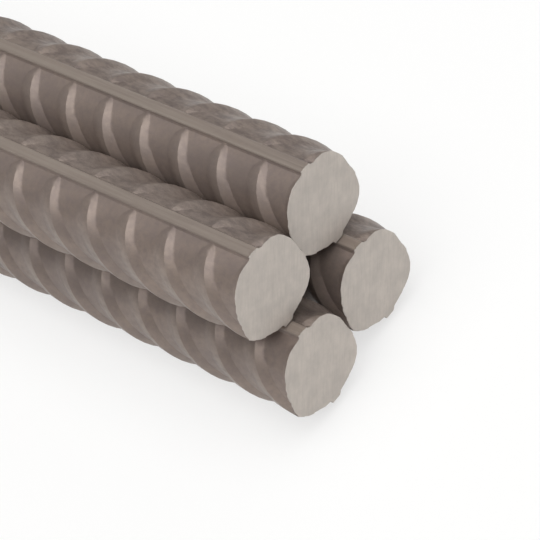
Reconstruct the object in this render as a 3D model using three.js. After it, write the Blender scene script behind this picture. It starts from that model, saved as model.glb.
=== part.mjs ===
// A bundle of four ribbed reinforcing bars, stacked two by two and held by two twisted wire ties.
// Millimetres, +Z up. The bars run along X, and their stepped saw-cut ends point to +X.
// The slanted ribs across each bar are finer than these solids: a bar is the plain round that
// weighs the same per metre, with the two rolled ribs that run along it. Their crests still set
// how far the bars and the wire stand off.

import * as THREE from "three";

// Bar
const BAR_LENGTH = 1000;
const NOMINAL_DIAMETER = 25;
const LONG_RIB_HEIGHT = 0.6; // above the nominal round, 1.0 above the core between the cross ribs
const LONG_RIB_FLAT = 2.8; // width of the rib's flat crest
const LONG_RIB_FOOT = 3.6; // width of the rib where it meets the round
const CROSS_RIB_HEIGHT = 0.6; // how far the cross ribs' crests stand above the nominal round
const ARC_SEGMENTS = 32; // facets on each of the two round sides

// Stack
const CONTACT_GAP = 0.3; // left between pieces that touch
const RIB_MESH = 1; // the lower pair lie crest on crest, and the upper pair's cross ribs mesh this deep
const UPPER_LEFT_STEP = 4.5; // how far each cut end lies behind that of the lower left bar
const LOWER_RIGHT_STEP = 4;
const UPPER_RIGHT_STEP = 9.5;

// Wire ties
const WIRE_DIAMETER = 2.5;
const WIRE_SIDES = 8; // even
const WIRE_STEPS = 230; // rings along one tie
const TIE_INSET = 200; // from the ends of the lower left bar
const TIE_BEND_RADIUS = 3; // where the wire turns up out of the loop into the twist
const TWIST_GAP = 0.2; // between the two strands
const TWIST_PITCH = 9.5; // length of one full turn
const TWIST_FOLD_RADIUS = 4.5; // the twisted tail is folded over towards +X
const TWIST_FOLD_ANGLE = 112; // degrees
const TWIST_TAIL = 17; // straight length after the fold

// Sizes that follow
const barRadius = NOMINAL_DIAMETER / 2;
const longRibRadius = barRadius + LONG_RIB_HEIGHT;
const crossRibRadius = barRadius + CROSS_RIB_HEIGHT;
const lowerPitch = 2 * crossRibRadius + CONTACT_GAP; // between the axes of the lower pair
const upperPitch = lowerPitch - RIB_MESH;
const pitchUp = 2 * longRibRadius + CONTACT_GAP;
const wireRadius = WIRE_DIAMETER / 2;
const strandOffset = wireRadius + TWIST_GAP / 2;

const rolledSteel = new THREE.MeshStandardMaterial({ color: 0x7b7068, metalness: 0.7, roughness: 0.55 });
const annealedWire = new THREE.MeshStandardMaterial({ color: 0x45413f, metalness: 0.8, roughness: 0.5 });

// The rolled section in the YZ plane: two round sides, and a rib with a flat crest at top and bottom.
function barSection() {
  const halfFoot = LONG_RIB_FOOT / 2;
  const halfFlat = LONG_RIB_FLAT / 2;
  const footAngle = Math.acos(halfFoot / barRadius);
  const section = new THREE.Shape();
  section.absarc(0, 0, barRadius, -footAngle, footAngle, false);
  section.lineTo(halfFlat, longRibRadius);
  section.lineTo(-halfFlat, longRibRadius);
  section.absarc(0, 0, barRadius, Math.PI - footAngle, Math.PI + footAngle, false);
  section.lineTo(-halfFlat, -longRibRadius);
  section.lineTo(halfFlat, -longRibRadius);
  section.closePath();
  return section;
}

// One bar, its section swept from its far end to its cut end at x = 0.
function barGeometry() {
  const bar = new THREE.ExtrudeGeometry(barSection(), {
    depth: BAR_LENGTH,
    bevelEnabled: false,
    curveSegments: ARC_SEGMENTS,
  });
  bar.translate(0, 0, -BAR_LENGTH);
  // The section's x becomes Y, its y becomes Z, and the sweep runs along X.
  bar.applyMatrix4(new THREE.Matrix4().set(0, 0, 1, 0, 1, 0, 0, 0, 0, 1, 0, 0, 0, 0, 0, 1));
  return bar;
}

// A quarter of an ellipse in the YZ plane, from one angle to the next.
class CornerCurve extends THREE.Curve {
  constructor(centreY, centreZ, radiusY, radiusZ, fromDegrees, toDegrees) {
    super();
    this.centre = new THREE.Vector3(0, centreY, centreZ);
    this.radii = new THREE.Vector2(radiusY, radiusZ);
    this.angles = [fromDegrees, toDegrees].map(THREE.MathUtils.degToRad);
  }
  getPoint(t, target = new THREE.Vector3()) {
    const angle = THREE.MathUtils.lerp(this.angles[0], this.angles[1], t);
    const y = this.radii.x * Math.cos(angle);
    const z = this.radii.y * Math.sin(angle);
    return target.set(0, y, z).add(this.centre);
  }
}

// One strand of the twist: a helix about an axis that rises from the loop and folds over to +X.
class StrandCurve extends THREE.Curve {
  constructor(baseZ, side) {
    super();
    this.baseZ = baseZ;
    this.side = side; // -1 or 1, the side of the axis on which the strand starts
    this.foldAngle = THREE.MathUtils.degToRad(TWIST_FOLD_ANGLE);
    this.foldLength = TWIST_FOLD_RADIUS * this.foldAngle;
  }
  getPoint(t, target = new THREE.Vector3()) {
    const along = t * (this.foldLength + TWIST_TAIL);
    const lean = Math.min(along / TWIST_FOLD_RADIUS, this.foldAngle);
    const straight = Math.max(along - this.foldLength, 0);
    const axisX = TWIST_FOLD_RADIUS * (1 - Math.cos(lean)) + straight * Math.sin(lean);
    const axisZ = this.baseZ + TWIST_FOLD_RADIUS * Math.sin(lean) + straight * Math.cos(lean);
    const turn = (2 * Math.PI * along) / TWIST_PITCH;
    const acrossY = this.side * strandOffset * Math.cos(turn);
    const acrossFold = this.side * strandOffset * Math.sin(turn);
    return target.set(
      axisX + acrossFold * Math.cos(lean),
      acrossY,
      axisZ - acrossFold * Math.sin(lean),
    );
  }
}

// A curve run backwards.
class ReversedCurve extends THREE.Curve {
  constructor(curve) {
    super();
    this.curve = curve;
  }
  getPoint(t, target = new THREE.Vector3()) {
    return this.curve.getPoint(1 - t, target);
  }
}

// The wire's centre line: down one strand, round the four bars, and up the other strand.
function tiePath() {
  const lowerY = lowerPitch / 2;
  const upperY = upperPitch / 2;
  const halfZ = pitchUp / 2;
  const cornerY = crossRibRadius + CONTACT_GAP + wireRadius;
  const cornerZ = longRibRadius + CONTACT_GAP + wireRadius;
  const top = halfZ + cornerZ;
  const bendY = strandOffset + TIE_BEND_RADIUS;
  const bendZ = top + TIE_BEND_RADIUS;
  const pieces = [
    new ReversedCurve(new StrandCurve(bendZ, -1)),
    new CornerCurve(-bendY, bendZ, TIE_BEND_RADIUS, TIE_BEND_RADIUS, 0, -90),
    new CornerCurve(-upperY, halfZ, cornerY, cornerZ, 90, 180),
    new CornerCurve(-lowerY, -halfZ, cornerY, cornerZ, 180, 270),
    new CornerCurve(lowerY, -halfZ, cornerY, cornerZ, 270, 360),
    new CornerCurve(upperY, halfZ, cornerY, cornerZ, 0, 90),
    new CornerCurve(bendY, bendZ, TIE_BEND_RADIUS, TIE_BEND_RADIUS, 270, 180),
    new StrandCurve(bendZ, 1),
  ];
  const path = new THREE.CurvePath();
  pieces.forEach((piece, i) => {
    if (i > 0) {
      const from = pieces[i - 1].getPoint(1);
      const to = piece.getPoint(0);
      if (from.distanceTo(to) > 1e-6) path.add(new THREE.LineCurve3(from, to));
    }
    path.add(piece);
  });
  return path;
}

// One tie: the round wire swept along its centre line.
function tieGeometry() {
  const wire = new THREE.Shape();
  wire.absarc(0, 0, wireRadius, 0, 2 * Math.PI, false);
  return new THREE.ExtrudeGeometry(wire, {
    steps: WIRE_STEPS,
    curveSegments: WIRE_SIDES / 2,
    extrudePath: tiePath(),
  });
}

function place(geometry, name, material, x, y, z) {
  const mesh = new THREE.Mesh(geometry, material.clone());
  mesh.name = name;
  mesh.position.set(x, y, z);
  return mesh;
}

const bars = [
  ["bar_lower_left", -lowerPitch / 2, -pitchUp / 2, 0],
  ["bar_lower_right", lowerPitch / 2, -pitchUp / 2, LOWER_RIGHT_STEP],
  ["bar_upper_left", -upperPitch / 2, pitchUp / 2, UPPER_LEFT_STEP],
  ["bar_upper_right", upperPitch / 2, pitchUp / 2, UPPER_RIGHT_STEP],
];
const ties = [
  ["wire_tie_front", -TIE_INSET],
  ["wire_tie_rear", TIE_INSET - BAR_LENGTH],
];

const group = new THREE.Group();
for (const [name, y, z, step] of bars) {
  group.add(place(barGeometry(), name, rolledSteel, -step, y, z));
}
for (const [name, x] of ties) {
  group.add(place(tieGeometry(), name, annealedWire, x, 0, 0));
}

// The origin is the middle of the bundle's footprint, on the level that the ties rest on.
const box = new THREE.Box3().setFromObject(group);
const middle = box.getCenter(new THREE.Vector3());
group.position.set(-middle.x, -middle.y, -box.min.z);

export default group;
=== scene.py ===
# %% [markdown]
# # A bundle of reinforcing bars
# Four ribbed steel bars lie two by two, held by two twisted wire ties. The plain solids come
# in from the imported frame. This script models what they leave out, the slanted ribs that are
# rolled into each bar and the smooth round wire, and gives every piece its finish. Each
# step first says what the real thing is, then how it could be made, and why it is made so.

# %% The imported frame
import math
from collections import Counter

import bpy
from mathutils import Matrix, Vector


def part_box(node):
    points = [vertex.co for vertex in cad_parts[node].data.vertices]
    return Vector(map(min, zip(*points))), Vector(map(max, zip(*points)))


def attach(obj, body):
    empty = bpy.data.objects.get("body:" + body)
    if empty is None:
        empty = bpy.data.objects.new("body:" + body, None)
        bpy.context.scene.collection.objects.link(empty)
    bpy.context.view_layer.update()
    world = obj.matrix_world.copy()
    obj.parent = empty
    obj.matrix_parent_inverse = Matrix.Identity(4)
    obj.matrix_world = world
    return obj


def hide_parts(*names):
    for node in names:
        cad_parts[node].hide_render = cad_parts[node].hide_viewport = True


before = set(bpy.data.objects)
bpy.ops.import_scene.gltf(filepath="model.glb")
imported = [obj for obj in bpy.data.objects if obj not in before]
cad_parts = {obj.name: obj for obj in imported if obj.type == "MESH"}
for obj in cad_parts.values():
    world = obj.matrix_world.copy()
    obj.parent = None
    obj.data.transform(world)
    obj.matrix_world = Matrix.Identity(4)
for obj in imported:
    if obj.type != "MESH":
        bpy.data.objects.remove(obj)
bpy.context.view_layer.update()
print("packed pieces:", sorted(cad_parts))

# %% [markdown]
# Lengths below are written in millimetres, as a bar's drawing gives them, and `mm` turns them
# into Blender's metres. An operator acts on all that is selected, and the frame arrives
# selected, so every step starts by deselecting everything.

# %% Units and selection
MM = 0.001
TOUCH = 0.001                # millimetres within which two places count as the same


def mm(*values):
    return tuple(value * MM for value in values)


def select_only(*pieces):
    bpy.ops.object.select_all(action="DESELECT")
    for piece in pieces:
        piece.select_set(True)
    bpy.context.view_layer.objects.active = pieces[0]


bpy.ops.object.select_all(action="DESELECT")
bpy.context.scene.unit_settings.length_unit = "MILLIMETERS"
print("pieces start with nothing selected, 1 mm =", MM, "m")

# %% [markdown]
# ## The bar's sizes
# Hot-rolled ribbed bar of 25 mm nominal size has a core a little thinner than 25 mm, two flat
# ribs that run along it, and a row of slanted crescent ribs on each side between them. The
# gap between the two rolls leaves the core slightly taller than wide. Angles go round the
# bar's axis from +Y towards +Z, so one lengthwise rib is straight up at 90 degrees and the
# other straight down at 270. Places along the bar are measured from its cut end at x = 0.

# %% Sizes of the core and the lengthwise ribs
CORE_HALF_HEIGHT = 12.35
CORE_HALF_WIDTH = 11.7
LONG_RIB_RADIUS = 13.1       # from the bar's axis to the flat crest
LONG_RIB_HALF_FOOT = 2.0
LONG_RIB_HALF_FLAT = 1.6
LONG_RIB_LEAN = 0.03         # how much wider its steep wall is at the bottom
LONG_RIB_WALL = 0.5          # from the crest down to the bottom of the wall
LONG_RIB_CHAMFER = 0.24

foot_angle = math.degrees(math.acos(LONG_RIB_HALF_FOOT / CORE_HALF_WIDTH))
side_sweep = 2 * foot_angle
low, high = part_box("bar_lower_left")
bar_length = (high.x - low.x) / MM
print(f"bar {bar_length:.0f} mm long, each side spans {side_sweep:.1f} degrees")

# %% [markdown]
# Each roll presses one row of ribs. The ribs of both rows lie in parallel tilted planes, but
# the two rolls are out of step and their grooves differ a little, so the rows neither meet nor
# match. A cut through a round bar at a slant gives a wave, and each rib follows that wave. Only
# the right row's ribs leave it, a little above the middle of their side, and lean on evenly
# from there down. The cut end shows all this as a wavy outline.

# %% Sizes of the cross ribs
RIB_PITCH = 13.09            # from one cross rib to the next
RIB_TILT = 8.9               # how far a rib's ends swing along the bar from its middle plane
TILT_ANGLE = 105             # the way round the bar to where a rib stands furthest back
ROWS = {
    "left_row": {"middle": 180,          # of the side, in degrees
                 "height": 1.35,
                 "behind": 2.7,          # from the cut end back to the middle plane of a rib
                 "crest_half_width": 1.0,
                 "crest_fall": 0.12,     # share of the height lost towards a crest's rear edge
                 "front_slope": 0.42,    # rise of a flank for each millimetre along the bar
                 "rear_slope": 0.3,
                 "even_below": -180},    # angle below which its ribs lean on evenly: none
    "right_row": {"middle": 0,
                  "height": 1.5,
                  "behind": 7.55,
                  "crest_half_width": 0.6,
                  "crest_fall": 0.04,
                  "front_slope": 0.27,
                  "rear_slope": 0.27,
                  "even_below": 38},
}
for row, rib in ROWS.items():
    print(f"{row}: ribs {rib['height']} mm high at the middle of their side")

# %% [markdown]
# ## One pitch of one side
# Cross ribs could be cut with booleans, but a boolean leaves ragged triangles that shade
# badly. Here the skin itself is drawn so that its rings of faces follow the ribs: one line of
# points runs along the bar over a single pitch, with points only where a rib's profile turns
# and one part of the way down each flank, which keeps the flank flat when it is shaded.

# %% The profile of one pitch
REAR_SPLIT = 0.65            # share of a flank's run that lies above its extra point
FRONT_SPLIT = 0.7


def profile(row):
    """(place along the bar from the crest's middle, share of the height) over one pitch."""
    rib = ROWS[row]
    crest, rear_share = rib["crest_half_width"], 1 - rib["crest_fall"]
    front_run = rib["height"] / rib["front_slope"]
    rear_run = rib["height"] * rear_share / rib["rear_slope"]
    return [(-RIB_PITCH / 2, 0),
            (-crest - rear_run, 0),
            (-crest - REAR_SPLIT * rear_run, (1 - REAR_SPLIT) * rear_share),
            (-crest, rear_share),
            (crest, 1),
            (crest + FRONT_SPLIT * front_run, 1 - FRONT_SPLIT),
            (crest + front_run, 0),
            (RIB_PITCH / 2, 0)]


for row in ROWS:
    print(row, [(round(x, 2), round(share, 2)) for x, share in profile(row)])

# %% [markdown]
# The line starts as a plane that is merged to one point, and the point is extruded from place
# to place. A Screw modifier without any climb then sweeps it round half the bar. A spin would
# do the same, but the modifier can be told the number of rings and always turns the same way.


# %% The line of points
def profile_line(row):
    start = math.radians(ROWS[row]["middle"] - foot_angle)
    places = [x for x, share in profile(row)]
    bpy.ops.object.select_all(action="DESELECT")
    bpy.ops.mesh.primitive_plane_add(size=MM)
    line = bpy.context.object
    line.name = row
    bpy.ops.object.mode_set(mode="EDIT")
    bpy.ops.mesh.select_all(action="SELECT")
    bpy.ops.mesh.merge(type="CENTER")
    bpy.ops.transform.translate(
        value=mm(places[0], CORE_HALF_HEIGHT * math.cos(start), CORE_HALF_HEIGHT * math.sin(start)))
    for here, there in zip(places, places[1:]):
        bpy.ops.mesh.extrude_region_move(
            TRANSFORM_OT_translate={"value": mm(there - here, 0, 0)})
    bpy.ops.object.mode_set(mode="OBJECT")
    return line


sides = {row: profile_line(row) for row in ROWS}
for row, side in sides.items():
    print(row, "has a line of", len(side.data.vertices), "points")


# %% The swept skin of one pitch
def apply_modifier(piece, kind, **settings):
    modifier = piece.modifiers.new(kind.lower(), kind)
    for name, value in settings.items():
        setattr(modifier, name, value)
    bpy.ops.object.modifier_apply(modifier=modifier.name)


RING_STEPS = 18              # rings of faces round one side

for row, side in sides.items():
    select_only(side)
    apply_modifier(side, "SCREW", axis="X", angle=math.radians(side_sweep),
                   steps=RING_STEPS, render_steps=RING_STEPS, use_smooth_shade=True)
    face = side.data.polygons[0]
    if face.normal.y * face.center.y + face.normal.z * face.center.z < 0:
        side.data.flip_normals()
    print(row, len(side.data.polygons), "faces in one pitch")

# %% [markdown]
# ## Crescents
# A cross rib is tallest half way round its side and dies away beside the lengthwise ribs, and
# as it gets lower its flanks draw in, so it ends almost in a point. Moving points by hand
# would do it, but the rules are simple, so vertex groups hold them: how much of the rib's
# height a point gets, how far its flank draws in, and how far its ring slides along the bar
# to lean the rib. The side is squashed to the core's oval, and Displace modifiers then shape
# the rib from the groups.

# %% How high a rib is on its way round
CRESCENT_FULLNESS = 0.5      # below 1 the ribs keep their height further round the bar
END_SHARE = 0.12             # of its height with which a rib runs into the lengthwise ribs


def crescent_share(from_middle):
    arch = max(math.cos(math.radians(90 * from_middle / foot_angle)), 0)
    return END_SHARE + (1 - END_SHARE) * arch**CRESCENT_FULLNESS


for from_middle in (0, 40, 70, 80):
    print(f"{from_middle} degrees round: {crescent_share(from_middle):.2f} of the height")

# %% How far a rib leans back on its way round
LONGEST_LEAN = 1.25          # times the plain swing, because a vertex group holds at most 1
LEAN_REACH = 2 * RIB_TILT * LONGEST_LEAN


def lean_share(row, angle):
    start = max(angle, ROWS[row]["even_below"])
    turn = math.radians(start - TILT_ANGLE)
    swing = (1 - math.cos(turn) - math.sin(turn) * math.radians(start - angle)) / 2
    return swing / LONGEST_LEAN


for angle in (80, 40, 0, -40, -80):
    lean = LEAN_REACH * lean_share("right_row", angle)
    print(f"a right rib at {angle} degrees lies {lean:.1f} mm in front of its rearmost place")

# %% Vertex groups for height, flanks and lean
NARROWEST = 0.1              # a flank keeps this share of its width where the rib dies away


def add_groups(side, row):
    height, front, back, tilt = (side.vertex_groups.new(name=name)
                                 for name in ("height", "front", "back", "tilt"))
    places = profile(row)
    rear_foot, front_foot = places[1][0], places[-2][0]
    for vertex in side.data.vertices:
        x, y, z = vertex.co / MM
        angle = math.degrees(math.atan2(z, y))
        from_middle = (angle - ROWS[row]["middle"] + 180) % 360 - 180
        crescent = crescent_share(from_middle)
        share = min(places, key=lambda place: abs(place[0] - x))[1]
        height.add([vertex.index], share * crescent, "REPLACE")
        if rear_foot - TOUCH < x < front_foot + TOUCH:
            draw_in = (1 - crescent) * (1 - NARROWEST) * x / (front_foot if x > 0 else rear_foot)
            (front if x > 0 else back).add([vertex.index], draw_in, "REPLACE")
        tilt.add([vertex.index], lean_share(row, angle), "REPLACE")
    return rear_foot, front_foot


feet = {row: add_groups(side, row) for row, side in sides.items()}
for row, (rear_foot, front_foot) in feet.items():
    print(f"{row}: flanks reach {-rear_foot:.2f} mm back and {front_foot:.2f} mm forward")


# %% Raising the ribs
def move_mesh(piece, place):
    """Move a piece and put its place into its mesh."""
    select_only(piece)
    piece.location = place
    bpy.ops.object.transform_apply(location=True, rotation=False, scale=False)


def raise_ribs(side, row):
    rear_foot, front_foot = feet[row]
    select_only(side)
    squash = CORE_HALF_WIDTH / CORE_HALF_HEIGHT
    bpy.ops.transform.resize(value=(1, squash, 1), center_override=(0, 0, 0))
    bpy.ops.object.transform_apply(location=False, rotation=False, scale=True)
    for name, reach in (("front", -front_foot), ("back", -rear_foot), ("tilt", LEAN_REACH)):
        apply_modifier(side, "DISPLACE", direction="X", mid_level=0, vertex_group=name,
                       strength=reach * MM)
    apply_modifier(side, "DISPLACE", direction="NORMAL", mid_level=0, vertex_group="height",
                   strength=ROWS[row]["height"] * MM)
    move_mesh(side, mm(-ROWS[row]["behind"] - RIB_TILT, 0, 0))


for row, side in sides.items():
    raise_ribs(side, row)
    reach = max(math.hypot(v.co.y, v.co.z) for v in side.data.vertices) / MM
    print(f"{row}: crest radius {reach:.2f} mm")

# %% [markdown]
# ## Lengthwise ribs
# Where the two rolls meet, the steel swells into a flat rib along the bar. It could be a strip
# laid on the bar, but the strip's foot would never meet the wavy skin. So each long edge of a
# side is extruded up the rib's foot, its steep wall and a chamfer, and after each extrusion the
# new edge is scaled flat onto a straight line. The flat crest comes later, as a bridge between
# the two sides, because their points don't line up.

# %% Section of a lengthwise rib
RIB_SECTION = (              # (half width, height above the axis), from above the foot
    (LONG_RIB_HALF_FLAT + LONG_RIB_LEAN, LONG_RIB_RADIUS - LONG_RIB_WALL),
    (LONG_RIB_HALF_FLAT, LONG_RIB_RADIUS - LONG_RIB_CHAMFER),
    (LONG_RIB_HALF_FLAT - LONG_RIB_CHAMFER, LONG_RIB_RADIUS),
)
foot_height = CORE_HALF_HEIGHT * math.sin(math.radians(foot_angle))
print(f"the foot lies {foot_height:.2f} mm above the axis, the crest {LONG_RIB_RADIUS} mm")

# %% Flanks of the lengthwise ribs
EDGE_TOLERANCE = 1           # degrees within which a point lies on a side's long edge


def edit_selected_edges():
    """Enter edit mode with those edges selected whose two points are."""
    bpy.ops.object.mode_set(mode="EDIT")
    bpy.ops.mesh.select_mode(type="VERT")
    bpy.ops.mesh.select_mode(type="EDGE")


def leave_edit_mode():
    bpy.ops.mesh.select_all(action="DESELECT")
    bpy.ops.object.mode_set(mode="OBJECT")


def raise_flanks(side, row):
    outward = 1 if ROWS[row]["middle"] == 0 else -1
    edge_angle = math.atan2(foot_height, outward * LONG_RIB_HALF_FOOT)
    select_only(side)
    for up in (1, -1):
        for vertex in side.data.vertices:
            angle = math.atan2(up * vertex.co.z, vertex.co.y)
            vertex.select = abs(angle - edge_angle) < math.radians(EDGE_TOLERANCE)
        edit_selected_edges()
        for half_width, height in RIB_SECTION:
            bpy.ops.mesh.extrude_edges_move()
            bpy.ops.transform.resize(
                value=(1, 0, 0), center_override=mm(0, outward * half_width, up * height))
        leave_edit_mode()


for row, side in sides.items():
    raise_flanks(side, row)
    print(row, len(side.data.polygons), "faces with its flanks")

# %% [markdown]
# ## The whole bar
# A bar carries over seventy ribs in each row, all alike, so none is modelled twice: an Array
# repeats each side's pitch along the bar, a little past both ends, and merges the seams. The
# two sides are then joined and bridged across both lengthwise ribs.

# %% Repeating and joining
SPARE_PITCHES = 2            # past each end, more than a side's lean takes up

pitches = math.ceil(bar_length / RIB_PITCH) + 2 * SPARE_PITCHES + 1
for side in sides.values():
    move_mesh(side, mm(SPARE_PITCHES * RIB_PITCH, 0, 0))
    apply_modifier(side, "ARRAY", count=pitches, use_relative_offset=False,
                   use_constant_offset=True, constant_offset_displace=mm(-RIB_PITCH, 0, 0),
                   use_merge_vertices=True, merge_threshold=2 * TOUCH * MM)
select_only(*sides.values())
bpy.ops.object.join()
bar = bpy.context.object
bar.name = "ribbed_bar"
print(f"{pitches} pitches, {len(bar.data.polygons)} faces")

# %% Bridging the flat crests
for up in (1, -1):
    for vertex in bar.data.vertices:
        vertex.select = up * vertex.co.z / MM > LONG_RIB_RADIUS - TOUCH \
            and abs(vertex.co.y) / MM < LONG_RIB_HALF_FLAT
    edit_selected_edges()
    bpy.ops.mesh.bridge_edge_loops()
    leave_edit_mode()
print(len(bar.data.polygons), "faces with both crests")

# %% [markdown]
# ## Cut ends
# A saw cuts the bar square and leaves a slightly ragged rim. A boolean could cut it, but a
# bisect with a fill is cleaner and closes the bar as well. A second cut just behind it keeps
# the raggedness to a short length of skin, and the rim's points are then moved in or out at
# random and scaled flat again. An inset with a little depth takes the sharpness off, and its
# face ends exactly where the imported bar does.

# %% Cutting the ends
CHAMFER_ACROSS = 0.2         # of the rim, across the cut face
CHAMFER_ALONG = 0.1
BURR_LENGTH = 0.9            # of skin behind the cut
ENDS = ((-CHAMFER_ALONG, -1, "clear_outer"),     # place of the cut, way in, side cut off
        (CHAMFER_ALONG - bar_length, 1, "clear_inner"))

bpy.ops.object.mode_set(mode="EDIT")
for cut, inward, cut_off in ENDS:
    bpy.ops.mesh.select_all(action="SELECT")
    bpy.ops.mesh.bisect(plane_co=mm(cut + inward * BURR_LENGTH, 0, 0), plane_no=(1, 0, 0),
                        threshold=TOUCH / 2 * MM)
    bpy.ops.mesh.select_all(action="SELECT")
    bpy.ops.mesh.bisect(plane_co=mm(cut, 0, 0), plane_no=(1, 0, 0), use_fill=True,
                        threshold=TOUCH / 2 * MM, **{cut_off: True})
bpy.ops.mesh.select_all(action="SELECT")
bpy.ops.mesh.normals_make_consistent(inside=False)
leave_edit_mode()
print(f"cut to {bar.dimensions.x / MM:.2f} mm")

# %% Ragged, chamfered rims
BURR = 0.22                  # how far a point of the rim moves in or out, at most
BURR_SEED = 7

for cut, *_ in ENDS:
    bar.data.polygons.foreach_set(
        "select", [abs(face.center.x / MM - cut) < TOUCH for face in bar.data.polygons])
    bpy.ops.object.mode_set(mode="EDIT")
    bpy.ops.mesh.select_mode(type="FACE")
    bpy.ops.transform.vertex_random(offset=BURR * MM, uniform=0, normal=1, seed=BURR_SEED)
    bpy.ops.transform.resize(value=(0, 1, 1), center_override=mm(cut, 0, 0))
    bpy.ops.mesh.inset(thickness=CHAMFER_ACROSS * MM, depth=CHAMFER_ALONG * MM)
    leave_edit_mode()

uses = Counter(edge for face in bar.data.polygons for edge in face.edge_keys)
print("edges not shared by two faces:", sum(count != 2 for count in uses.values()))
print(f"length {bar.dimensions.x / MM:.2f} mm, {len(bar.data.polygons)} faces")

# %% [markdown]
# ## Shading
# The chamfers and the rim must look crisp while the core looks round. A Bevel would add faces
# to every rib for that, so the edges that are sharp are only marked hard, and the rest are
# shaded smooth. Weighted normals keep the broad flanks of the cross ribs flat and leave the
# turning to the narrow faces at their feet, as on the real bar.

# %% Smooth shading with hard edges
HARD_EDGE = 25               # degrees
BROAD_FACES_LEAD = 80        # percent

select_only(bar)
bpy.ops.object.shade_smooth_by_angle(angle=math.radians(HARD_EDGE))
apply_modifier(bar, "WEIGHTED_NORMAL", mode="FACE_AREA", weight=BROAD_FACES_LEAD,
               keep_sharp=True)
print("hard edges:", sum(edge.use_edge_sharp for edge in bar.data.edges))

# %% [markdown]
# ## Rubbed crests and a coarse side
# Bars slide over rollers and over each other, which rubs the crests of the lengthwise ribs
# lighter than the rest, and touches those of the cross ribs. The grooves of the two rolls don't
# wear alike either: the side that the more worn roll pressed, the right row's, comes out with a
# rougher, blotchier skin. Painting a texture map would mark both, but the bar has none and
# needs none, because attributes on its points can hold them for its material to read.

# %% The rubbed crests
CROSS_RIB_RUB = 0.2
CROSS_RIB_RADIUS = 12.8      # skin of a cross rib further out than this is rubbed
crest_bottom = LONG_RIB_RADIUS - LONG_RIB_CHAMFER


def mark_points(name, share):
    """Give the bar an attribute, with share(x, y, z) at each point, in mm from its cut end."""
    marks = bar.data.attributes.new(name, "FLOAT", "POINT")
    for vertex, mark in zip(bar.data.vertices, marks.data):
        mark.value = share(*(vertex.co / MM))
    print("points marked", name + ":", sum(mark.value > 0 for mark in marks.data))


def rubbed_share(x, y, z):
    if abs(z) > crest_bottom - TOUCH and abs(y) < LONG_RIB_HALF_FLAT + TOUCH:
        return 1
    return CROSS_RIB_RUB if math.hypot(y, z) > CROSS_RIB_RADIUS else 0


mark_points("rubbed", rubbed_share)

# %% The coarse side
mark_points("coarse", lambda x, y, z: 1 if y > LONG_RIB_HALF_FLAT + TOUCH else 0)

# %% [markdown]
# ## Finishes
# Colours are written as sRGB hex values, as a paint chart gives them, and one function turns
# them to the linear values that Blender mixes. One more function adds a shader node, with its
# settings and with the links or values of its sockets.


# %% Colour and node helpers
def linear(hex_colour):
    """The linear RGBA of an sRGB colour, by the curve that the sRGB standard gives."""
    channels = [int(hex_colour[i:i + 2], 16) / 255 for i in (1, 3, 5)]
    return tuple(c / 12.92 if c <= 0.04045 else ((c + 0.055) / 1.055) ** 2.4
                 for c in channels) + (1,)


def add_node(tree, kind, sockets=None, **settings):
    made = tree.nodes.new(kind)
    for name, value in settings.items():
        setattr(made, name, value)
    for name, value in (sockets or {}).items():
        if isinstance(value, bpy.types.NodeSocket):
            tree.links.new(value, made.inputs[name])
        else:
            made.inputs[name].default_value = value
    return made


def new_material(name):
    material = bpy.data.materials.new(name)
    material.use_nodes = True
    tree = material.node_tree
    return material, tree, tree.nodes["Principled BSDF"]


print("mid grey #808080 is linear", [round(c, 3) for c in linear("#808080")[:3]])

# %% [markdown]
# ### Mill scale
# As-rolled bar leaves the mill red hot and grows a thin oxide skin, mill scale. Its colour
# drifts from warm grey to purplish brown in patches that the rolls have drawn out along the
# bar, and it is mottled where it has flaked or been wet. The coarse side has dark and light
# blotches besides, and the rubbed crests carry fine streaks along the bar. A single noise looks
# like camouflage, so each of these has a noise of its own, scaled to its real size and mostly
# stretched along the bar. A noise hovers about 0.5, so a Map Range node spreads its middle
# values over the full range before they mix two colours.

# %% Patches along the bar
NOISE_LOW, NOISE_HIGH = 0.35, 0.65       # between which most of a noise lies
PATCH_WIDTH = 9
PATCH_STRETCH = 4            # times as long as wide
WARM_GREY = "#908177"
PURPLISH_BROWN = "#82756e"

mill_scale, tree, surface = new_material("mill_scale")
place = add_node(tree, "ShaderNodeTexCoord").outputs["Object"]
drawn = add_node(tree, "ShaderNodeMapping",
                 {"Vector": place, "Scale": (1 / PATCH_STRETCH, 1, 1)})
patches = add_node(tree, "ShaderNodeTexNoise",
                   {"Vector": drawn.outputs["Vector"], "Scale": 1 / (PATCH_WIDTH * MM),
                    "Detail": 4, "Roughness": 0.55})
share = add_node(tree, "ShaderNodeMapRange",
                 {"Value": patches.outputs["Fac"], "From Min": NOISE_LOW, "From Max": NOISE_HIGH})
patched = add_node(tree, "ShaderNodeMix",
                   {"Factor": share.outputs["Result"], "A": linear(WARM_GREY),
                    "B": linear(PURPLISH_BROWN)}, data_type="RGBA")
print(mill_scale.name, "has", len(tree.nodes), "nodes with its patches")

# %% Mottle
MOTTLE_SIZE = 1.6            # of its largest flecks
MOTTLE_TONE = "#786b68"
MOTTLE_MOST = 0.5            # share of it in the darkest flecks

mottle = add_node(tree, "ShaderNodeTexNoise",
                  {"Vector": place, "Scale": 1 / (MOTTLE_SIZE * MM), "Detail": 5,
                   "Roughness": 0.6})
share = add_node(tree, "ShaderNodeMapRange",
                 {"Value": mottle.outputs["Fac"], "From Min": 0.38, "From Max": 0.66,
                  "To Max": MOTTLE_MOST})
mottled = add_node(tree, "ShaderNodeMix",
                   {"Factor": share.outputs["Result"], "A": patched.outputs["Result"],
                    "B": linear(MOTTLE_TONE)}, data_type="RGBA")
print(mill_scale.name, "has", len(tree.nodes), "nodes with its mottle")

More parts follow.
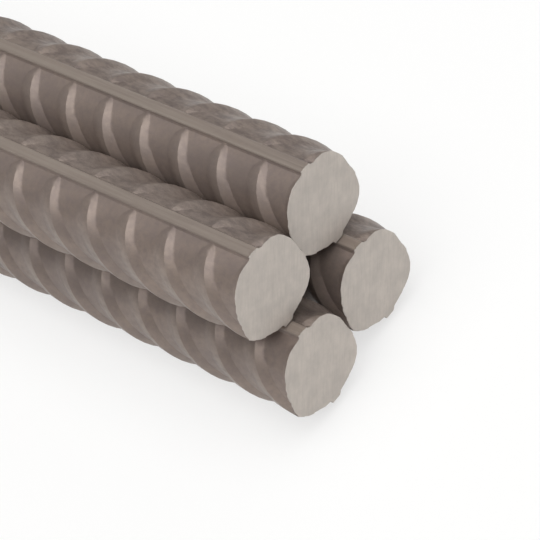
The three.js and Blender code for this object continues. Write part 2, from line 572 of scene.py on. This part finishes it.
# %% Blotches on the coarse side
BLOTCH_WIDTH = 1.5
BLOTCH_STRETCH = 2.5
BLOTCH_SHARE = 0.45          # how much of the coarse side's colour they make up
LIGHT_BLOTCH = "#9e9187"
DARK_BLOTCH = "#685e5a"

drawn = add_node(tree, "ShaderNodeMapping",
                 {"Vector": place, "Scale": (1 / BLOTCH_STRETCH, 1, 1)})
blotches = add_node(tree, "ShaderNodeTexNoise",
                    {"Vector": drawn.outputs["Vector"], "Scale": 1 / (BLOTCH_WIDTH * MM),
                     "Detail": 5, "Roughness": 0.7})
share = add_node(tree, "ShaderNodeMapRange",
                 {"Value": blotches.outputs["Fac"], "From Min": 0.4, "From Max": 0.6})
tone = add_node(tree, "ShaderNodeMix",
                {"Factor": share.outputs["Result"], "A": linear(LIGHT_BLOTCH),
                 "B": linear(DARK_BLOTCH)}, data_type="RGBA")
coarse = add_node(tree, "ShaderNodeAttribute", attribute_name="coarse")
share = add_node(tree, "ShaderNodeMath", {0: coarse.outputs["Fac"], 1: BLOTCH_SHARE},
                 operation="MULTIPLY")
blotched = add_node(tree, "ShaderNodeMix",
                    {"Factor": share.outputs["Value"], "A": mottled.outputs["Result"],
                     "B": tone.outputs["Result"]}, data_type="RGBA")
print(mill_scale.name, "has", len(tree.nodes), "nodes with its blotches")

# %% Streaks on the rubbed crests
STREAK_WIDTH = 0.8
STREAK_SQUEEZE = 0.03        # along the bar, which makes them about 25 mm long
STREAK_LEAST = 0.45          # share of the rubbed tone between two streaks
RUBBED_TONE = "#9c9086"

rolled = add_node(tree, "ShaderNodeMapping",
                  {"Vector": place, "Scale": (STREAK_SQUEEZE, 1, 1)})
streaks = add_node(tree, "ShaderNodeTexNoise",
                   {"Vector": rolled.outputs["Vector"], "Scale": 1 / (STREAK_WIDTH * MM),
                    "Detail": 3, "Roughness": 0.6})
share = add_node(tree, "ShaderNodeMapRange",
                 {"Value": streaks.outputs["Fac"], "From Min": NOISE_LOW, "From Max": NOISE_HIGH,
                  "To Min": STREAK_LEAST})
rubbed = add_node(tree, "ShaderNodeAttribute", attribute_name="rubbed")
share = add_node(tree, "ShaderNodeMath",
                 {0: rubbed.outputs["Fac"], 1: share.outputs["Result"]}, operation="MULTIPLY")
worn = add_node(tree, "ShaderNodeMix",
                {"Factor": share.outputs["Value"], "A": blotched.outputs["Result"],
                 "B": linear(RUBBED_TONE)}, data_type="RGBA")
tree.links.new(worn.outputs["Result"], surface.inputs["Base Color"])
print(mill_scale.name, "has", len(tree.nodes), "nodes with its streaks")

# %% [markdown]
# Mill scale is an oxide on steel and not bare metal, so it is only partly metallic, and it is
# satin: lamps show in it as broad soft lights on the ribs' flanks, never as sharp images. Its
# flecks are a little duller than the rest. Modelling the grain would take millions of faces, so
# it is bump, deeper on the coarse side, and so is the slight unevenness that the rolls leave.

# %% Grain and gloss of mill scale
GRAIN_SIZE = 0.5             # drawn coarser than real, to show
GRAIN_DEPTH = 0.09           # on the coarse side
SMOOTH_SIDE_SHARE = 0.3      # of that depth on the other
WAVE_SIZE = 3.5
WAVE_DEPTH = 0.06
GLOSSIEST, DULLEST = 0.38, 0.5           # roughness

grain = add_node(tree, "ShaderNodeTexNoise",
                 {"Vector": place, "Scale": 1 / (GRAIN_SIZE * MM), "Detail": 3,
                  "Roughness": 0.6})
depth = add_node(tree, "ShaderNodeMapRange",
                 {"Value": coarse.outputs["Fac"], "To Min": SMOOTH_SIDE_SHARE})
fine = add_node(tree, "ShaderNodeBump",
                {"Height": grain.outputs["Fac"], "Distance": GRAIN_DEPTH * MM,
                 "Strength": depth.outputs["Result"]})
waves = add_node(tree, "ShaderNodeTexNoise",
                 {"Vector": place, "Scale": 1 / (WAVE_SIZE * MM), "Detail": 2})
broad = add_node(tree, "ShaderNodeBump",
                 {"Height": waves.outputs["Fac"], "Distance": WAVE_DEPTH * MM,
                  "Normal": fine.outputs["Normal"], "Strength": 1})
tree.links.new(broad.outputs["Normal"], surface.inputs["Normal"])
satin = add_node(tree, "ShaderNodeMapRange",
                 {"Value": mottle.outputs["Fac"], "From Min": 0.3, "From Max": 0.7,
                  "To Min": GLOSSIEST, "To Max": DULLEST})
tree.links.new(satin.outputs["Result"], surface.inputs["Roughness"])
surface.inputs["Metallic"].default_value = 0.42
print(mill_scale.name, "has", len(tree.nodes), "nodes in all")

# %% [markdown]
# ### Saw-cut steel
# A bar is cut to length with a cold saw. The cut shows the bare steel, light grey and finely
# scored along the blade's path, and it dulls within days, so it is matt and hardly metallic.
# A Wave texture would score it too evenly, so the scoring is a noise drawn out along that path.
# Real scores are a tenth of a millimetre apart; they are drawn wider, to show.

# %% Dull patches of the cut
DULL_SIZE = 4
BARE_STEEL = "#c5bcb4"
DULLED_STEEL = "#b8b0a9"

saw_cut, tree, surface = new_material("saw_cut_steel")
place = add_node(tree, "ShaderNodeTexCoord").outputs["Object"]
dulled = add_node(tree, "ShaderNodeTexNoise",
                  {"Vector": place, "Scale": 1 / (DULL_SIZE * MM), "Detail": 5,
                   "Roughness": 0.6})
share = add_node(tree, "ShaderNodeMapRange",
                 {"Value": dulled.outputs["Fac"], "From Min": NOISE_LOW, "From Max": NOISE_HIGH})
steel = add_node(tree, "ShaderNodeMix",
                 {"Factor": share.outputs["Result"], "A": linear(BARE_STEEL),
                  "B": linear(DULLED_STEEL)}, data_type="RGBA")
print(saw_cut.name, "has", len(tree.nodes), "nodes with its dull patches")

# %% Scores of the saw
SAW_DIRECTION = 28           # degrees the blade's path leans from upright
SCORE_WIDTH = 0.5
SCORE_STRETCH = 10
SCORE_DEPTH = 0.02
SCORE_TONE = "#a79f98"
SCORE_MOST = 0.35            # share of it in the deepest scores

turned = add_node(tree, "ShaderNodeMapping",
                  {"Vector": place, "Rotation": (math.radians(SAW_DIRECTION), 0, 0)})
drawn = add_node(tree, "ShaderNodeMapping",
                 {"Vector": turned.outputs["Vector"], "Scale": (1, 1, 1 / SCORE_STRETCH)})
scores = add_node(tree, "ShaderNodeTexNoise",
                  {"Vector": drawn.outputs["Vector"], "Scale": 1 / (SCORE_WIDTH * MM),
                   "Detail": 3})
share = add_node(tree, "ShaderNodeMapRange",
                 {"Value": scores.outputs["Fac"], "From Min": 0.45, "From Max": 0.75,
                  "To Max": SCORE_MOST})
scored = add_node(tree, "ShaderNodeMix",
                  {"Factor": share.outputs["Result"], "A": steel.outputs["Result"],
                   "B": linear(SCORE_TONE)}, data_type="RGBA")
relief = add_node(tree, "ShaderNodeBump",
                  {"Height": scores.outputs["Fac"], "Distance": SCORE_DEPTH * MM,
                   "Strength": 1})
tree.links.new(scored.outputs["Result"], surface.inputs["Base Color"])
tree.links.new(relief.outputs["Normal"], surface.inputs["Normal"])
surface.inputs["Metallic"].default_value = 0.3
surface.inputs["Roughness"].default_value = 0.5
print(saw_cut.name, "has", len(tree.nodes), "nodes in all")

# %% Which face has which finish
FACES_END = 0.3              # share of its normal that points along the bar on a cut face

bar.data.materials.append(mill_scale)
bar.data.materials.append(saw_cut)
for face in bar.data.polygons:
    past_rim = max(face.center.x, -bar_length * MM - face.center.x) / MM > -CHAMFER_ALONG
    face.material_index = 1 if past_rim and abs(face.normal.x) > FACES_END else 0
print("cut faces:", sum(face.material_index for face in bar.data.polygons))

# %% [markdown]
# ## Four bars
# All four bars come off the same rolls, so the finished bar is copied to each packed bar's
# place. Linked copies would share one mesh, but every bar is a piece of its own, so each copy
# has its own mesh, and its place goes into that mesh.

# %% Placing the bars
for name in ("bar_lower_left", "bar_lower_right", "bar_upper_left", "bar_upper_right"):
    low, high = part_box(name)
    select_only(bar)
    bpy.ops.object.duplicate()
    copy = bpy.context.object
    copy.name = name + "_ribbed"
    move_mesh(copy, (high.x, (low.y + high.y) / 2, (low.z + high.z) / 2))
    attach(copy, "root")
    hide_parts(name)
    print(copy.name, "cut end at x =", round(high.x / MM, 2))
bpy.data.objects.remove(bar)

# %% [markdown]
# ## Wire ties
# Bundles are tied with soft annealed wire, twisted up on top. Annealing leaves it nearly black
# and dull, with a sheen only where it bends towards the light. One colour all over would look
# like plastic cord, so a fine noise carries the scale and dirt on it.

# %% Annealed wire material
DIRT_SIZE = 1.2
DIRT_DEPTH = 0.03
WIRE_GREY = "#4a4644"
DIRT_BROWN = "#37312e"

wire_finish, tree, surface = new_material("black_annealed_wire")
place = add_node(tree, "ShaderNodeTexCoord").outputs["Object"]
dirt = add_node(tree, "ShaderNodeTexNoise",
                {"Vector": place, "Scale": 1 / (DIRT_SIZE * MM), "Detail": 4})
share = add_node(tree, "ShaderNodeMapRange",
                 {"Value": dirt.outputs["Fac"], "From Min": NOISE_LOW, "From Max": NOISE_HIGH})
colour = add_node(tree, "ShaderNodeMix",
                  {"Factor": share.outputs["Result"], "A": linear(WIRE_GREY),
                   "B": linear(DIRT_BROWN)}, data_type="RGBA")
relief = add_node(tree, "ShaderNodeBump",
                  {"Height": dirt.outputs["Fac"], "Distance": DIRT_DEPTH * MM, "Strength": 1})
tree.links.new(colour.outputs["Result"], surface.inputs["Base Color"])
tree.links.new(relief.outputs["Normal"], surface.inputs["Normal"])
surface.inputs["Metallic"].default_value = 0.5
surface.inputs["Roughness"].default_value = 0.45
print(wire_finish.name, "has", len(tree.nodes), "nodes")

# %% [markdown]
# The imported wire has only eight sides. Sweeping a new one would repeat its whole route, so a
# merged copy of it is made round by one level of subdivision. That takes 0.09 mm off the
# wire's radius, and fattening the copy first gives half of it back: with more, the wire would
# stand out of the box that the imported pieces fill.

# %% Rounding the wire
WIRE_FATTENING = 0.05
WIRE_END = 70                # degrees, edges sharper than this are the wire's cut ends
WIRE_SMOOTH = 40

for name in ("wire_tie_front", "wire_tie_rear"):
    select_only(bpy.data.objects[name])
    bpy.ops.object.duplicate()
    tie = bpy.context.object
    tie.name = name + "_wire"
    tie.data.materials.clear()
    tie.data.materials.append(wire_finish)
    bpy.ops.object.mode_set(mode="EDIT")
    bpy.ops.mesh.select_mode(type="EDGE")
    bpy.ops.mesh.select_all(action="SELECT")
    bpy.ops.mesh.remove_doubles(threshold=TOUCH * MM)
    bpy.ops.mesh.tris_convert_to_quads()
    bpy.ops.transform.shrink_fatten(value=WIRE_FATTENING * MM)
    bpy.ops.mesh.select_all(action="DESELECT")
    bpy.ops.mesh.edges_select_sharp(sharpness=math.radians(WIRE_END))
    bpy.ops.transform.edge_crease(value=1)
    bpy.ops.object.mode_set(mode="OBJECT")
    print(tie.name, "creased", sum(edge.select for edge in tie.data.edges), "edges")
    apply_modifier(tie, "SUBSURF", levels=1, render_levels=1)
    bpy.ops.object.shade_smooth_by_angle(angle=math.radians(WIRE_SMOOTH))
    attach(tie, "root")
    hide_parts(name)

# %% [markdown]
# ## Floor, backdrop and light
# The bundle lies on a pale floor with a low pale backdrop round it, both in matt paint. Strong
# lamps could turn them white, but they would bleach the steel too. So to the camera and in
# reflections both show mostly plain white of their own, under lamps that are no stronger than
# the bars need, and the floor still keeps the bundle's soft shadow.

# %% Studio paint
PALE_PAINT = "#f8f8f6"
FLOOR_GLOW = 0.65            # share of plain white that shows
BACKDROP_GLOW = 1


def studio_paint(name, glow):
    material, tree, surface = new_material(name)
    surface.inputs["Base Color"].default_value = linear(PALE_PAINT)
    surface.inputs["Roughness"].default_value = 0.9
    path = add_node(tree, "ShaderNodeLightPath")
    seen = add_node(tree, "ShaderNodeMath",
                    {0: path.outputs["Is Camera Ray"], 1: path.outputs["Is Glossy Ray"]},
                    operation="ADD")
    seen = add_node(tree, "ShaderNodeMath",
                    {0: seen.outputs["Value"], 1: path.outputs["Is Transmission Ray"]},
                    operation="ADD", use_clamp=True)
    share = add_node(tree, "ShaderNodeMath", {0: seen.outputs["Value"], 1: glow},
                     operation="MULTIPLY")
    white = add_node(tree, "ShaderNodeEmission", {"Color": (1, 1, 1, 1), "Strength": 1})
    mixed = add_node(tree, "ShaderNodeMixShader",
                     {0: share.outputs["Value"], 1: surface.outputs["BSDF"],
                      2: white.outputs["Emission"]})
    tree.links.new(mixed.outputs["Shader"], tree.nodes["Material Output"].inputs["Surface"])
    return material


floor_paint = studio_paint("studio_floor", FLOOR_GLOW)
backdrop_paint = studio_paint("studio_backdrop", BACKDROP_GLOW)
print(floor_paint.name, "and", backdrop_paint.name, "are in", PALE_PAINT)

# %% Floor and backdrop
STUDIO_WIDTH = 30            # metres
BACKDROP_HEIGHT = 1.5        # metres
BACKDROP_SIDES = 64

bpy.ops.object.select_all(action="DESELECT")
bpy.ops.mesh.primitive_plane_add(size=STUDIO_WIDTH)
floor = bpy.context.object
floor.name = "floor"
floor.data.materials.append(floor_paint)
bpy.ops.mesh.primitive_cylinder_add(
    vertices=BACKDROP_SIDES, radius=STUDIO_WIDTH / 2, depth=BACKDROP_HEIGHT,
    end_fill_type="NOTHING", location=(0, 0, BACKDROP_HEIGHT / 2))
backdrop = bpy.context.object
backdrop.name = "backdrop"
backdrop.data.materials.append(backdrop_paint)
print(f"floor {STUDIO_WIDTH} m wide, backdrop {BACKDROP_HEIGHT} m high")

# %% [markdown]
# A bar is lit best by a light that is broad and the same all along it. A square lamp near the
# bundle would light its near end more than its far end, so the light is a sun lamp with a very
# wide angle, like a bright overcast sky straight above. A weak one from behind lifts the far
# sides, and a dim white world fills the shadows.

# %% World
WORLD_LEVEL = 0.25

world = bpy.data.worlds.new("pale_room")
bpy.context.scene.world = world
world.use_nodes = True
background = world.node_tree.nodes["Background"]
background.inputs["Color"].default_value = (1, 1, 1, 1)
background.inputs["Strength"].default_value = WORLD_LEVEL
print(world.name, "shines white at", WORLD_LEVEL)


# %% Lamps
def sky_lamp(name, place, spread, strength):
    """A sun lamp: of its place, only the direction seen from the bundle counts."""
    bpy.ops.object.light_add(type="SUN", location=place)
    lamp = bpy.context.object
    lamp.name = name
    lamp.data.angle = math.radians(spread)
    lamp.data.energy = strength
    lamp.rotation_euler = (-Vector(place)).to_track_quat("-Z", "Y").to_euler()
    print(name, f"shines from a disc {spread} degrees wide")


sky_lamp("key_lamp", place=(0.15, -0.15, 0.98), spread=73, strength=2.52)
sky_lamp("rear_lamp", place=(-0.1, 0.85, 0.5), spread=50, strength=0.15)

# %% [markdown]
# ## Camera
# The camera looks down on the cut ends from a little to the left. A short lens would splay the
# bars, so it stands back behind a long lens that keeps them nearly parallel, and it is rolled
# so that they run across the view.

# %% Camera
CAMERA_PLACE = (920.33, -251.62, 532.08)
CAMERA_AIM = (485.64, -2.58, 30.0)
CAMERA_ROLL = 27.18          # degrees, the upright leans left in the view
CAMERA_LENS = 198.607
SENSOR_WIDTH = 36
NEAREST = 10                 # the camera sees nothing closer

bpy.ops.object.camera_add(location=mm(*CAMERA_PLACE))
camera = bpy.context.object
toward = Vector(mm(*CAMERA_AIM)) - camera.location
level = toward.to_track_quat("-Z", "Y").to_matrix()
roll = Matrix.Rotation(math.radians(-CAMERA_ROLL), 3, "Z")
camera.rotation_euler = (level @ roll).to_euler()
camera.data.lens = CAMERA_LENS
camera.data.sensor_width = SENSOR_WIDTH
camera.data.clip_start = NEAREST * MM
bpy.context.scene.camera = camera
bpy.context.scene.view_settings.view_transform = "Standard"
print(f"camera {toward.length:.2f} m from where it looks")
